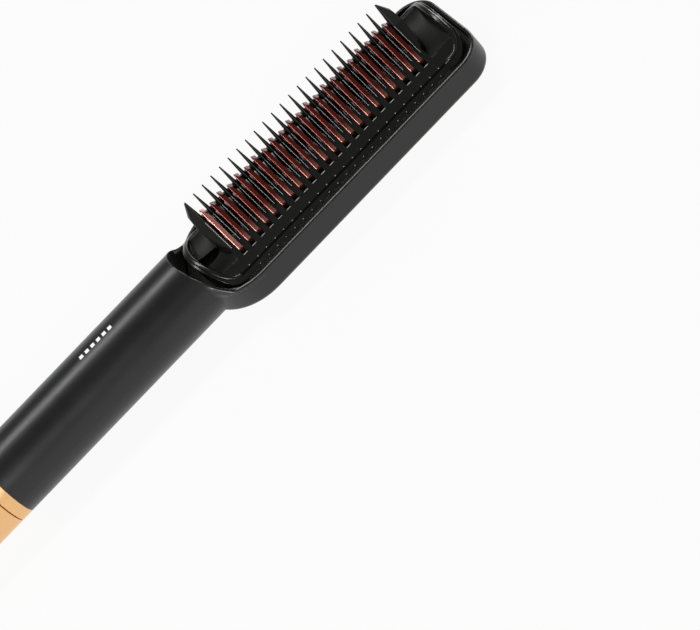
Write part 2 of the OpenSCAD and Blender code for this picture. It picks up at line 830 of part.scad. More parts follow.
module ptc_heaters() {
  step = (heater_x1 - heater_x0) / ptc_count;
  color("#d9d4c8") lifted() for (i = [0:ptc_count - 1]) {
    x = heater_x0 + (i + 0.5) * step;
    box(x - ptc_len / 2, x + ptc_len / 2, -ptc_hw, ptc_hw, ptc_z, electrode1_z);
  }
}

module electrodes() {
  color("#c0c2c4") lifted() for (z = [electrode1_z, electrode2_z])
    box(heater_x0 - 2, heater_x1, -ptc_hw, ptc_hw, z, z + electrode_t);
}

module insulating_films() {
  color("#b5722c") lifted() for (z = [film1_z, film2_z])
    box(heater_x0 - 1, heater_x1 + 1, -stack_hw, stack_hw, z, z + film_t);
}

module pressure_plate() {
  color("#a9abad") lifted() difference() {
    box(heater_x0 - 1, heater_x1 + 1, -plate_hw, plate_hw, plate_z, film2_z);
    for (x = heater_screw_x, s = [-1, 1])
      upright(x, s * heater_screw_y, plate_z - 1, film2_z + 1, m2_r + 0.1);
  }
}

module heater_screws() {
  color("silver") lifted() for (x = heater_screw_x, s = [-1, 1]) translate([x, s * heater_screw_y, 0]) {
    upright(0, 0, plate_z - m2_head_h, plate_z, m2_head_r, 32);
    upright(0, 0, plate_z - eps, comb_base_top - 1, m2_r, 32);
  }
}

module heat_shield() {
  color("#cfc9b0") lifted()
    box(shield_x0, heater_x1 + shield_out, -plate_hw + 0.5, plate_hw - 0.5, floor_z, floor_z + shield_t);
}

module thermistor() {
  x = x_tooth0 + 2;
  z = seat_z - 1.1;
  leg = 0.5;
  color("#b8452e") lifted() {
    box(x - 1.5, x + 1.2, -1.4, 1.4, z - 0.8, seat_z);
    for (s = [-1, 1]) lead([
      [board_x1 - 3, board_z - leg / 2], [board_x1 - 1, board_z - leg / 2], [x_recess - 5, z - 0.6],
      [x - 5, z - 0.6], [x, z]
    ], s * 0.9, leg);
  }
}

module thermal_fuse() {
  color("#cbb89a") lifted() translate([0, lead_y, fuse_z]) {
    bar_x(fuse_x, fuse_x + fuse_len, fuse_r, 32);
    bar_x(fuse_x - fuse_leg, fuse_x + fuse_len + fuse_leg, 0.4, 16);
  }
}

module heater_leads() {
  start = [board_x1 - 3, board_z - lead_w / 2];
  fuse_near = fuse_x - fuse_leg;
  fuse_far = fuse_x + fuse_len + fuse_leg;
  bend = [x_recess - 5, seat_z - 2];
  top_z = electrode1_z - lead_w / 2;
  low_z = electrode2_z + electrode_t + lead_w / 2;
  color("#b33a2a") lifted() {
    lead([start, [board_x1, start[1]], bend, [heater_x0 - 20, bend[1]], [heater_x0 - 3, top_z],
      [heater_x0, top_z]], -lead_y, lead_w);
    // the other lead dips to the floor of the cavity over three fifths of its way to the fuse
    lead([start, [board_x1, start[1]], bend, [bend[0] + (fuse_near - bend[0]) * 14 / 23, fuse_z],
      [fuse_near, fuse_z]], lead_y, lead_w);
    lead([[fuse_far, fuse_z], [heater_x0 - 3, low_z], [heater_x0, low_z]], lead_y, lead_w);
  }
}

module mains_leads() {
  top_z = board_z + board_t + wire_w / 2;
  color("#3f5fa8") lifted() for (s = [-1, 1])
    lead([
      [brush_end, s * brush_lead_z], [x_handle + 2.5, s * brush_lead_z],
      [board_x0 - 2.5, top_z], [board_x0 + 2, top_z]
    ], s * 0.7, wire_w);
}

module control_board() {
  color("#2f6b45") lifted() box(board_x0, board_x1, -board_hw, board_hw, board_z, board_z + board_t);
}

module triac() {
  tab_x = triac_x + triac_len;
  z = board_z + board_t;
  color("#222224") lifted() {
    box(triac_x, tab_x, -triac_hw, triac_hw, z, z + triac_t);
    box(tab_x, tab_x + triac_tab_len, -triac_hw, triac_hw, z, z + triac_tab_t);
  }
}

module capacitor() {
  color("#30406a") lifted() translate([0, 0, board_z + board_t + capacitor_r])
    bar_x(capacitor_x, capacitor_x + capacitor_len, capacitor_r, 48);
}

module indicator_leds() {
  color("#f4f4ee") lifted() light_windows(light_size - 0.1, board_z + board_t, board_z + board_t + 0.9);
}

module light_guide() {
  z0 = board_z + board_t + 1.1;
  color("white") lifted() {
    intersection() {
      light_windows(light_size, z0, handle_r + 1);
      bar_x(light_x - light_bar_w, light_x + light_bar_w, handle_r);
    }
    intersection() {
      box(light_x - light_bar_w / 2, light_x + light_bar_w / 2, -light_bar_hw, light_bar_hw,
        bore_r - 1.6, bore_r + 1);
      bar_x(light_x - light_bar_w, light_x + light_bar_w, bore_r);
    }
  }
}

module cover_screws() {
  color("silver") lifted() for (x = cover_screw_x, s = [-1, 1]) translate([x, s * cover_screw_y, 0]) {
    upright(0, 0, badge_seat_z + fit_gap, badge_seat_z + m26_head_h, m26_head_r, 32);
    upright(0, 0, badge_seat_z + m26_head_h - eps, -1, m26_r, 32);
  }
}

// frame and panel in the back

module badge_frame() {
  low = back_z - frame_proud;
  color("#e9c24e") lifted() difference() {
    union() {
      slab(low + 0.5, badge_seat_z) frame_shrunk(0.05);
      slab(low, badge_seat_z) difference() {
        frame_shrunk(0.4);
        frame_shrunk(1.6);
      }
      slab(low + 0.1, badge_seat_z) difference() {
        frame_shrunk(2.3);
        frame_window(1.2);
      }
    }
    slab(low - 1, badge_seat_z + 1) frame_window();
  }
}

module frame_shrunk(inset) {
  arch_outline(x_recess + 7.1 + inset, x_end - frame_end_gap - inset, frame_w / 2 - inset,
    38 - inset, 10.5 - inset, 5.5 - inset);
}

module back_panel() {
  color("#161616") lifted() slab(back_z + 0.2, badge_seat_z) frame_window(-0.1);
}

front_shell();
rear_shell();
collar_ring();
tail_spindle();
temperature_dial();
dial_drum();
contact_wiper();
switch_board();
detent_carrier();
detent_spring();
detent_ball();
swivel_gland();
swivel_retainer();
slip_rings();
contact_brushes();
comb_cover();
guard_plates();
heating_comb();
ptc_heaters();
electrodes();
insulating_films();
pressure_plate();
heater_screws();
heat_shield();
thermistor();
thermal_fuse();
heater_leads();
mains_leads();
control_board();
triac();
capacitor();
indicator_leds();
light_guide();
cover_screws();
badge_frame();
back_panel();
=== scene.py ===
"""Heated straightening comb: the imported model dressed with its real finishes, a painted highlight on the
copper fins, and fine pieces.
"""
import json
import math

import bmesh
import bpy
from mathutils import Matrix, Vector


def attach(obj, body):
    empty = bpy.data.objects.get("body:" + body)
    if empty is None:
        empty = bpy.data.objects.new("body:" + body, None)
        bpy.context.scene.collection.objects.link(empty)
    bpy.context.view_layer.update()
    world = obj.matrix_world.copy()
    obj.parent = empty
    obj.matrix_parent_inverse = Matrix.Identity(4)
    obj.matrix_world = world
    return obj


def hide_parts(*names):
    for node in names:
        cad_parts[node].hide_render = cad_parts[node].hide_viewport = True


MM = 0.001

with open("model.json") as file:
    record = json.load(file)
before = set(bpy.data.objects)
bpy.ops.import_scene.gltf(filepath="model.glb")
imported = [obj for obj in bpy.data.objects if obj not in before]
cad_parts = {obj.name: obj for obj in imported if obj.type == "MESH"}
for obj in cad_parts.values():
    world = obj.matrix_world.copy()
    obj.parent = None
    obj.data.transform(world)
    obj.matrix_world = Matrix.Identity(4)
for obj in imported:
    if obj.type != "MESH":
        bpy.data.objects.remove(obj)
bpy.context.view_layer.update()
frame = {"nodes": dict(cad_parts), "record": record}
nodes = frame["nodes"]


# The body that the pieces made here ride on, and sizes of the comb in millimetres. Heights count from
# the handle's middle, which lies AXIS_HEIGHT above the table.

BODY = "comb_body"
AXIS_HEIGHT = 15.0
HANDLE_R = 15.0
HEAD_START, HEAD_END = 1.9, 139.1
HEAD_HALF = 23.75
HEAD_CORNER = 12.0
RIM_WALL, RIM_TOP = 1.6, 0.5
NEAR_MIDDLE = HEAD_START + HEAD_HALF - RIM_WALL
WALL_R = HEAD_HALF - RIM_WALL
CROWN_TOP, CROWN_EDGE = 10.0, 0.2
COVER_HALF = 18.9
COVER_START, COVER_END = 6.8, 135.6
COVER_ARCH_R, COVER_CORNER, COVER_STEP = 30.0, 8.0, 0.8
CROWN_R = (COVER_HALF ** 2 + (CROWN_TOP - CROWN_EDGE) ** 2) / (2 * (CROWN_TOP - CROWN_EDGE))
PLATE_START, PLATE_PITCH, PLATE_COUNT = 21.9, 4.5, 23
PLATE_HALF, SHOULDER_HALF, TIP_HALF = 10.0, 1.8, 0.4
PLATE_TOP, SHOULDER_TOP = 30.1, 18.5
FIN_HALF, FIN_TALL, FIN_LOW = 12.0, 22.7, 21.6
SLOT_HALF = 14.3
FRAME_START, FRAME_END, FRAME_HALF = 9.0, 133.0, 17.85
FRAME_ARCH_R, FRAME_NEAR_R, FRAME_FAR_R = 38.0, 10.5, 5.5
FRAME_LOW, FRAME_SEAT = -12.4, -10.2
WINDOW_START, WINDOW_END, WINDOW_HALF = FRAME_START + 4.6, FRAME_END - 4.9, FRAME_HALF - 5.4
WINDOW_ARCH_R, WINDOW_NEAR_R, WINDOW_FAR_R = 23.0, 6.5, 0.8


def metres(values):
    return tuple(v * MM for v in values)


# Colours, as linear values worked out from the screen colours

def screen(red, green, blue):
    """Linear colour of a screen colour given from 0 to 255."""
    def linear(v):
        v = v / 255
        return v / 12.92 if v <= 0.04045 else ((v + 0.055) / 1.055) ** 2.4
    return (linear(red), linear(green), linear(blue), 1.0)


# Shader groups that several finishes share

def new_group(name, inputs, outputs):
    group = bpy.data.node_groups.new(name, "ShaderNodeTree")
    for label, kind, value in inputs:
        socket = group.interface.new_socket(label, in_out="INPUT", socket_type=kind)
        socket.default_value = value
    for label, kind in outputs:
        group.interface.new_socket(label, in_out="OUTPUT", socket_type=kind)
    start = group.nodes.new("NodeGroupInput")
    end = group.nodes.new("NodeGroupOutput")
    return group, start, end


def add(tree, kind, **settings):
    node = tree.nodes.new(kind)
    for key, value in settings.items():
        if key in node.inputs:
            node.inputs[key].default_value = value
        else:
            setattr(node, key, value)
    return node


def math_node(tree, operation, a, b=None, clamp=False):
    node = tree.nodes.new("ShaderNodeMath")
    node.operation = operation
    node.use_clamp = clamp
    for i, value in enumerate((a, b)):
        if value is None:
            continue
        if isinstance(value, (int, float)):
            node.inputs[i].default_value = value
        else:
            tree.links.new(value, node.inputs[i])
    return node.outputs[0]


def mix_colour(tree, factor, a, b):
    node = tree.nodes.new("ShaderNodeMix")
    node.data_type = "RGBA"
    for socket, value in ((node.inputs[0], factor), (node.inputs[6], a), (node.inputs[7], b)):
        if hasattr(value, "is_linked"):
            tree.links.new(value, socket)
        else:
            socket.default_value = value
    return node.outputs[2]


def noise_of_size(tree, place, size, **settings):
    """Noise whose features have the size given by a socket, in millimetres."""
    noise = add(tree, "ShaderNodeTexNoise", **settings)
    tree.links.new(place, noise.inputs["Vector"])
    tree.links.new(math_node(tree, "DIVIDE", 1 / MM, size), noise.inputs["Scale"])
    return noise.outputs["Fac"]


def object_place(tree):
    """Object coordinates, taken apart into X, Y and Z."""
    split = add(tree, "ShaderNodeSeparateXYZ")
    tree.links.new(add(tree, "ShaderNodeTexCoord").outputs["Object"], split.inputs[0])
    return split.outputs


def ramp(tree, value, start, stop, low=0.0, high=1.0):
    """Value mapped from start and stop to low and high, and held beyond them."""
    node = add(tree, "ShaderNodeMapRange", **{
        "From Min": start, "From Max": stop, "To Min": low, "To Max": high})
    tree.links.new(value, node.inputs["Value"])
    return node.outputs[0]


def moulded_group():
    """Fine spark-eroded texture of moulded plastic: grain height, slow mottling and a roughness shift."""
    group, start, end = new_group(
        "moulded_texture",
        [("Grain Size", "NodeSocketFloat", 0.35), ("Mottle Size", "NodeSocketFloat", 18.0),
         ("Roughness", "NodeSocketFloat", 0.5), ("Roughness Spread", "NodeSocketFloat", 0.08),
         ("Colour", "NodeSocketColor", (0.05, 0.05, 0.05, 1)), ("Colour Shift", "NodeSocketFloat", 0.15)],
        [("Colour", "NodeSocketColor"), ("Roughness", "NodeSocketFloat"), ("Height", "NodeSocketFloat")])
    place = add(group, "ShaderNodeTexCoord").outputs["Object"]
    grain = noise_of_size(group, place, start.outputs["Grain Size"], Detail=3.0, Roughness=0.6)
    mottle = noise_of_size(group, place, start.outputs["Mottle Size"], Detail=4.0, Roughness=0.55)
    swing = math_node(group, "MULTIPLY", math_node(group, "SUBTRACT", mottle, 0.5), 2.0)
    spread = math_node(group, "MULTIPLY", swing, start.outputs["Roughness Spread"])
    group.links.new(math_node(group, "ADD", start.outputs["Roughness"], spread), end.inputs["Roughness"])
    gain = math_node(group, "ADD", 1.0, math_node(group, "MULTIPLY", swing, start.outputs["Colour Shift"]))
    scale = add(group, "ShaderNodeVectorMath", operation="SCALE")
    group.links.new(start.outputs["Colour"], scale.inputs[0])
    group.links.new(gain, scale.inputs["Scale"])
    group.links.new(scale.outputs[0], end.inputs["Colour"])
    group.links.new(grain, end.inputs["Height"])
    return group


def wear_group():
    """Mask of handled spots and fine rubbed streaks along the length, from 0 to 1."""
    group, start, end = new_group(
        "handling_marks",
        [("Spot Size", "NodeSocketFloat", 14.0), ("Streak Size", "NodeSocketFloat", 1.2),
         ("Amount", "NodeSocketFloat", 0.4)],
        [("Mask", "NodeSocketFloat"), ("Streaks", "NodeSocketFloat")])
    place = add(group, "ShaderNodeTexCoord").outputs["Object"]
    spots = noise_of_size(group, place, start.outputs["Spot Size"], Detail=5.0, Roughness=0.65)
    mask = math_node(group, "MULTIPLY", ramp(group, spots, 0.5, 0.72), start.outputs["Amount"])
    group.links.new(mask, end.inputs["Mask"])
    stretch = add(group, "ShaderNodeMapping", Scale=(0.08, 1.0, 1.0))
    group.links.new(place, stretch.inputs["Vector"])
    streaks = noise_of_size(group, stretch.outputs[0], start.outputs["Streak Size"], Detail=2.0,
                            Roughness=0.5)
    group.links.new(streaks, end.inputs["Streaks"])
    return group


MOULDED = moulded_group()
MARKS = wear_group()
COAT_ROUGHNESS = 0.1
RUB = 0.12                  # how far handling marks and streaks change the roughness
METAL_MARKS = 0.35
PAINTED_HIGHLIGHT_Y = (-9.0, -12.5)      # between these a painted highlight comes in on the copper, in millimetres from the middle
PAINTED_HIGHLIGHT_FEET = 0.7             # how strong the painted highlight on the feet of the fins is
PAINTED_HIGHLIGHT_X = (26.3, 26.1)       # up to here the whole of the copper gets the painted highlight, in millimetres along the comb


def new_material(name, metallic=0.0, coat=0.0, specular=0.5):
    material = bpy.data.materials.new(name)
    material.use_nodes = True
    shader = material.node_tree.nodes["Principled BSDF"]
    shader.inputs["Metallic"].default_value = metallic
    shader.inputs["Coat Weight"].default_value = coat
    shader.inputs["Coat Roughness"].default_value = COAT_ROUGHNESS
    shader.inputs["Specular IOR Level"].default_value = specular
    return material, material.node_tree, shader


def bump(tree, shader, height, strength, distance_mm):
    node = add(tree, "ShaderNodeBump", Strength=strength, Distance=distance_mm * MM)
    tree.links.new(height, node.inputs["Height"])
    tree.links.new(node.outputs[0], shader.inputs["Normal"])


def moulded(tree, colour, roughness, spread, grain, shift):
    """The moulded texture in a material, with its own values."""
    body = add(tree, "ShaderNodeGroup", node_tree=MOULDED)
    for label, value in (("Colour", colour), ("Roughness", roughness), ("Roughness Spread", spread),
                         ("Grain Size", grain), ("Colour Shift", shift)):
        body.inputs[label].default_value = value
    return body.outputs


def plastic(name, colour, roughness, spread=0.06, grain=0.35, depth=0.012, strength=0.5, marks=0.3,
            coat=0.0, specular=0.5):
    """Moulded plastic with its eroded grain, slight mottling and faint handling marks."""
    material, tree, shader = new_material(name, coat=coat, specular=specular)
    body = moulded(tree, colour, roughness, spread, grain, shift=0.12)
    touch = add(tree, "ShaderNodeGroup", node_tree=MARKS)
    touch.inputs["Amount"].default_value = marks
    tree.links.new(body["Colour"], shader.inputs["Base Color"])
    rubbed = math_node(tree, "MULTIPLY", touch.outputs["Mask"], RUB)
    worn = math_node(tree, "SUBTRACT", body["Roughness"], rubbed, clamp=True)
    tree.links.new(worn, shader.inputs["Roughness"])
    bump(tree, shader, body["Height"], strength, depth)
    return material


def coated_metal(name, colour, roughness, streak=1.0, coat=0.0, tint=None):
    """Vacuum-coated or plated surface: metal colour with fine streaks and soft cloudy marks."""
    material, tree, shader = new_material(name, metallic=1.0, coat=coat)
    body = moulded(tree, colour, roughness, spread=0.05, grain=0.25, shift=0.08)
    touch = add(tree, "ShaderNodeGroup", node_tree=MARKS)
    touch.inputs["Amount"].default_value = METAL_MARKS
    touch.inputs["Streak Size"].default_value = streak
    base = mix_colour(tree, touch.outputs["Mask"], body["Colour"], tint) if tint else body["Colour"]
    tree.links.new(base, shader.inputs["Base Color"])
    streaks = math_node(tree, "MULTIPLY", math_node(tree, "SUBTRACT", touch.outputs["Streaks"], 0.5), RUB)
    tree.links.new(math_node(tree, "ADD", body["Roughness"], streaks, clamp=True), shader.inputs["Roughness"])
    bump(tree, shader, body["Height"], strength=0.3, distance_mm=0.003)
    return material


def copper_with_painted_highlight():
    """Copper coat with a painted highlight: a pale pink stands in for light falling on the fins' feet on the
    -Y side and on the whole of the first fin.
    """
    material = coated_metal("copper_coat", screen(104, 36, 26), 0.34, streak=0.7, coat=0.5,
                            tint=screen(70, 20, 14))
    tree = material.node_tree
    shader = tree.nodes["Principled BSDF"]
    place = object_place(tree)
    # painted highlight masks: the fins' feet on the -Y side and the whole first fin; the pale pink mixed in
    # below is painted light, not a colour of the copper
    feet = ramp(tree, place["Y"], *metres(PAINTED_HIGHLIGHT_Y), high=PAINTED_HIGHLIGHT_FEET)
    first = ramp(tree, place["X"], *metres(PAINTED_HIGHLIGHT_X))
    source = shader.inputs["Base Color"].links[0].from_socket
    painted_highlight = mix_colour(tree, math_node(tree, "MAXIMUM", feet, first), source, screen(196, 132, 120))
    tree.links.new(painted_highlight, shader.inputs["Base Color"])
    return material


def build_materials():
    return {
        "shell": plastic("shell_satin_black", screen(15, 15, 16), 0.34, spread=0.05, grain=0.3, depth=0.006,
                         strength=0.35),
        "cover": plastic("cover_half_gloss", screen(15, 16, 12), 0.24, grain=0.6, depth=0.003,
                         strength=0.25, marks=0.5),
        "guard": plastic("guard_plate_satin", screen(15, 16, 12), 0.46, grain=0.4, depth=0.004,
                         strength=0.3, marks=0.4, specular=0.22),
        "gold_satin": coated_metal("gold_satin_coat", screen(238, 190, 134), 0.34, streak=0.8),
        "gold_bright": coated_metal("gold_bright_coat", screen(246, 206, 96), 0.18, streak=0.6),
        "copper_coat": copper_with_painted_highlight(),
        "panel": plastic("panel_piano_black", screen(14, 14, 15), 0.12, spread=0.03, grain=1.5, depth=0.001,
                         strength=0.1, marks=0.5, coat=0.5),
        "gland": plastic("gland_rubber", screen(26, 26, 28), 0.62, grain=0.5, depth=0.01),
        "inner_plastic": plastic("inner_grey_plastic", screen(82, 82, 86), 0.5),
        "contacts": coated_metal("contact_brass", screen(206, 170, 96), 0.3),
        "contacts_tin": coated_metal("sheet_aluminium", screen(200, 202, 206), 0.35),
        "steel": coated_metal("plain_steel", screen(176, 178, 182), 0.28),
        "board": plastic("board_green", screen(36, 104, 66), 0.4, grain=0.8),
        "chip": plastic("chip_black", screen(30, 30, 31), 0.5),
        "capacitor": plastic("capacitor_sleeve", screen(52, 66, 110), 0.35),
        "heater_stone": plastic("heater_stone", screen(206, 200, 186), 0.75, grain=0.5, depth=0.02),
        "film": plastic("amber_film", screen(190, 128, 50), 0.25),
        "film_light": plastic("mica_sheet", screen(196, 190, 160), 0.4),
        "sensor": plastic("sensor_dip", screen(170, 72, 52), 0.4),
        "lead_red": plastic("lead_red", screen(168, 48, 38), 0.45),
        "lead_blue": plastic("lead_blue", screen(52, 84, 150), 0.45),
        "led": plastic("led_body", screen(238, 236, 226), 0.35),
        "light_window": plastic("light_window", screen(250, 250, 250), 0.3, depth=0.001),
    }


MATERIALS = build_materials()


def dress_nodes():
    """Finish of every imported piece: its slot's, and a duller one for the guard plates."""
    for entry in frame["record"]["subparts"]:
        mesh = nodes[entry["node"]].data
        mesh.materials.clear()
        finish = "guard" if entry["node"] == "guard_plates" else entry["material_slot"]
        mesh.materials.append(MATERIALS[finish])


dress_nodes()


# Outlines and swept pieces

def arc(cx, cy, radius, start, stop, steps):
    """Points on an arc, with the angles in degrees and both ends in."""
    turns = [math.radians(start + (stop - start) * i / steps) for i in range(steps + 1)]
    return [(cx + radius * math.cos(t), cy + radius * math.sin(t)) for t in turns]


def closed_outline(half):
    """Whole outline from its upper half, which runs from the handle end to the far end."""
    lower = [(x, -y) for x, y in reversed(half[1:-1])]
    return half + lower


def arched(x0, x1, half_width, arch_r, near_r, far_r, inset=0.0):
    """Outline with a wide arch at the handle end and round corners, pulled in by inset."""
    x0, x1, half_width = x0 + inset, x1 - inset, half_width - inset
    arch_r, near_r, far_r = arch_r - inset, near_r - inset, max(far_r - inset, 0.3)
    cy = half_width - near_r
    cx = x0 + arch_r - math.sqrt((arch_r - near_r) ** 2 - cy * cy)
    turn = math.degrees(math.atan2(cy, cx - x0 - arch_r))
    half = arc(x0 + arch_r, 0, arch_r, 180, turn, 16)
    half += arc(cx, cy, near_r, turn, 90, 10)[1:]
    side = x1 - far_r
    half += [(cx + (side - cx) * i / 30, half_width) for i in range(1, 31)]
    half += arc(side, half_width - far_r, far_r, 90, 0, 10)[1:]
    half += [(x1, (half_width - far_r) * (1 - i / 8)) for i in range(1, 9)]
    return closed_outline(half)


def head_path(inset):
    hw, corner = HEAD_HALF - inset, HEAD_CORNER - inset
    half = arc(NEAR_MIDDLE, 0, hw, 180, 90, 30)
    side = HEAD_END - inset - corner
    half += [(NEAR_MIDDLE + (side - NEAR_MIDDLE) * i / 30, hw) for i in range(1, 31)]
    half += arc(side, hw - corner, corner, 90, 0, 14)[1:]
    half += [(HEAD_END - inset, (hw - corner) * (1 - i / 6)) for i in range(1, 7)]
    return closed_outline(half)


def cover_path(inset):
    return arched(COVER_START, COVER_END, COVER_HALF, COVER_ARCH_R, COVER_CORNER, COVER_CORNER, inset)


def crown_height(y, drop=0.0):
    """Height of the cover's crown at y, on a surface that lies drop below its top."""
    return CROWN_TOP - CROWN_R + math.sqrt((CROWN_R - drop) ** 2 - y * y)


def finish_piece(mesh, name, slot, smooth=True):
    """Object of a finished mesh, riding on the comb's body, in its slot's material."""
    mesh.materials.clear()
    mesh.materials.append(MATERIALS[slot])
    for face in mesh.polygons:
        face.use_smooth = smooth
    piece = bpy.data.objects.new(name, mesh)
    bpy.context.scene.collection.objects.link(piece)
    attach(piece, BODY)
    return piece


def mesh_of(name, points, faces):
    """Mesh from points in millimetres above the handle's middle, with its faces turned outwards."""
    work = bmesh.new()
    corners = [work.verts.new((x * MM, y * MM, (z + AXIS_HEIGHT) * MM)) for x, y, z in points]
    for face in faces:
        work.faces.new([corners[i] for i in face])
    bmesh.ops.recalc_face_normals(work, faces=work.faces)
    mesh = bpy.data.meshes.new(name)
    work.to_mesh(mesh)
    work.free()
    return mesh


def tube_faces(rings, width, closed):
    """Faces of a tube that is given ring by ring, with caps unless it closes on itself."""
    faces = []
    for i in range(rings if closed else rings - 1):
        a, b = i * width, ((i + 1) % rings) * width
        faces += [(a + k, a + (k + 1) % width, b + (k + 1) % width, b + k) for k in range(width)]
    if not closed:
        faces += [tuple(range(width)), tuple(range((rings - 1) * width, rings * width))]
    return faces


def swept(name, path, section, closed=True):
    """Section of outward and upward offsets, carried along a path of points with heights."""
    count, points = len(path), []
    for i, (x, y, z) in enumerate(path):
        before = path[i - 1] if closed or i else path[0]
        after = path[(i + 1) % count] if closed or i < count - 1 else path[-1]
        tx, ty = after[0] - before[0], after[1] - before[1]
        norm = math.hypot(tx, ty) or 1.0
        for out, up in section:
            points.append((x - out * ty / norm, y + out * tx / norm, z + up))
    return mesh_of(name, points, tube_faces(count, len(section), closed))


def round_section(radius, steps=8, flat=1.0):
    turns = [2 * math.pi * i / steps for i in range(steps)]
    return [(radius * math.cos(t), flat * radius * math.sin(t)) for t in turns]


def joined(name, meshes):
    work = bmesh.new()
    for mesh in meshes:
        work.from_mesh(mesh)
    whole = bpy.data.meshes.new(name)
    work.to_mesh(whole)
    work.free()
    return whole


# Neck and lips. The line gives heights of the edge between the handle's round flank and the head's
# rim, by the angle in degrees round the middle of the head's near half circle.

SHOULDER_LINE = ((33, 8.95), (35, 7.95), (37.5, 6.75), (40, 5.7), (42.5, 4.8), (45, 3.95), (47.5, 3.2),
                 (50, 2.5), (52.5, 1.85), (55, 1.35), (57.5, 1.0), (60, 0.85), (62, 0.8))
SHOULDER_START, SHOULDER_END = SHOULDER_LINE[0][0], SHOULDER_LINE[-1][0]
NECK_FILLET = 4.0
FLANK_END = 43.4            # past this angle the head's own circle is the outside
NECK_LIMIT = 30             # radius at which the search for the outside stops
END_EDGE_R = WALL_R + 0.12
END_LIP_R, END_LIP_SINK = 0.26, 0.16
STEP_LIP_R, STEP_LIP_SINK, STEP_LIP_INSET = 0.22, 0.12, 0.15
RIM_SECTION = ((-0.6, -1.4), (0.79, -1.4), (0.79, -0.7), (0.77, -0.35), (0.68, -0.1), (0.5, 0.08),
               (0.2, 0.2), (-0.2, 0.29), (-0.55, 0.36), (-0.72, 0.3), (-0.8, 0.12), (-0.8, -0.5))


def around_near_end(angle, radius):
    turn = math.radians(angle)
    return NEAR_MIDDLE - radius * math.cos(turn), -radius * math.sin(turn)


def neck_top(angle):
    """Height of the handle's end edge at an angle: the round handle first, then the shoulder line."""
    if angle <= SHOULDER_START:
        y = END_EDGE_R * math.sin(math.radians(angle))
        return math.sqrt(HANDLE_R ** 2 - y * y)
    for (a0, h0), (a1, h1) in zip(SHOULDER_LINE, SHOULDER_LINE[1:]):
        if angle <= a1:
            return h0 + (h1 - h0) * (angle - a0) / (a1 - a0)
    return SHOULDER_LINE[-1][1]


def neck_reach(angle):
    """Radius at which the outside of the neck lies at the handle's middle height."""
    fillet_y = HANDLE_R + NECK_FILLET
    fillet_x = NEAR_MIDDLE - math.sqrt((HEAD_HALF + NECK_FILLET) ** 2 - fillet_y ** 2)
    turn = math.radians(angle)
    radius = HEAD_HALF
    while radius < NECK_LIMIT:
        x, y = NEAR_MIDDLE - radius * math.cos(turn), radius * math.sin(turn)
        if math.hypot(x - fillet_x, y - fillet_y) <= NECK_FILLET or (x < fillet_x and y >= HANDLE_R):
            return radius
        if x >= fillet_x and angle > FLANK_END:
            return HEAD_HALF
        radius += 0.02
    return radius


def shoulder_section(angle):
    """Radii and heights across a shoulder at an angle, from the recess over its edge to the outside."""
    top, reach = neck_top(angle), neck_reach(angle) + 0.03
    return ((WALL_R + 0.05, -0.6), (WALL_R - 0.02, top - 0.15), (WALL_R + 0.3, top - 0.02),
            (WALL_R + 0.75, top - 0.14), (WALL_R + 1.15, top - 0.5),
            ((WALL_R + 1.4 + reach) / 2, top * 0.5), (reach, -0.05), (HEAD_HALF - 0.3, -0.6))


def neck_shoulders():
    """Shoulders that carry the edge of the handle's end smoothly down to the rim on both sides."""
    halves, steps, blend = [], 24, 7
    stations = [SHOULDER_START + (SHOULDER_END - SHOULDER_START) * i / steps for i in range(steps + 1)]
    for side in (-1, 1):
        points = []
        for angle in stations:
            section = shoulder_section(angle)
            for radius, z in section:
                x, y = around_near_end(angle, radius)
                if abs(y) < HANDLE_R:
                    flank = math.sqrt(HANDLE_R ** 2 - y * y) - 0.1
                    z = min(z, flank + max(z - flank, 0.0) * min((angle - SHOULDER_START) / blend, 1.0))
                points.append((x, -side * y, z))
        halves.append(mesh_of("neck_shoulder", points, tube_faces(len(stations), len(section), False)))
    finish_piece(joined("neck_shoulders", halves), "neck_shoulders", "shell")


def edge_beads():
    """Rounded lips where the mouldings end: the rim, the end of the handle shell and the cover."""
    rim = [(x, y, RIM_TOP) for x, y in head_path(RIM_WALL / 2)]
    finish_piece(swept("rim_lip", rim, RIM_SECTION), "rim_lip", "cover")
    lip = [(*around_near_end(i, END_EDGE_R), neck_top(abs(i)) - END_LIP_SINK)
           for i in range(-SHOULDER_END, SHOULDER_END + 1)]
    end_lip = swept("handle_end_lip", lip, round_section(END_LIP_R), closed=False)
    finish_piece(end_lip, "handle_end_lip", "cover")
    step = [(x, y, crown_height(y, COVER_STEP) - STEP_LIP_SINK) for x, y in cover_path(STEP_LIP_INSET)]
    finish_piece(swept("step_lip", step, round_section(STEP_LIP_R)), "step_lip", "cover")


neck_shoulders()
edge_beads()


# Smooth hollows of the cover beside the two end plates

DISH_FLOOR, DISH_R, DISH_WIDE_R, DISH_INSET = 1.5, 9.4, 26.0, 2.4
DISH_FILLET, DISH_LENGTH = 3.6, 12.0
DISH_EASE, FILLET_EASE = 1.3, 0.5
LAST_PLATE = PLATE_START + PLATE_PITCH * (PLATE_COUNT - 1)
NEAR_DISH, FAR_DISH = (COVER_START, PLATE_START - 1.0), (LAST_PLATE + 1.0, COVER_END)
LINER_T, LINER_UP, LINER_DOWN, LINER_GAP = 0.3, 0.02, 0.04, 0.02
RING_INSET, RING_R, RING_UP, RING_FLAT = 1.75, 0.95, -0.2, 0.55
RING_FADE, RING_SINK = 5.0, 0.7


def eased_max(a, b, ease):
    """The larger of two heights, with a soft change from one to the other; never below either."""
    return (a + b + math.sqrt((a - b) ** 2 + ease * ease)) / 2


def trough(distance, radius):
    """Height of a round trough at a distance from its middle."""
    return DISH_FLOOR + radius - math.sqrt(radius ** 2 - distance ** 2)


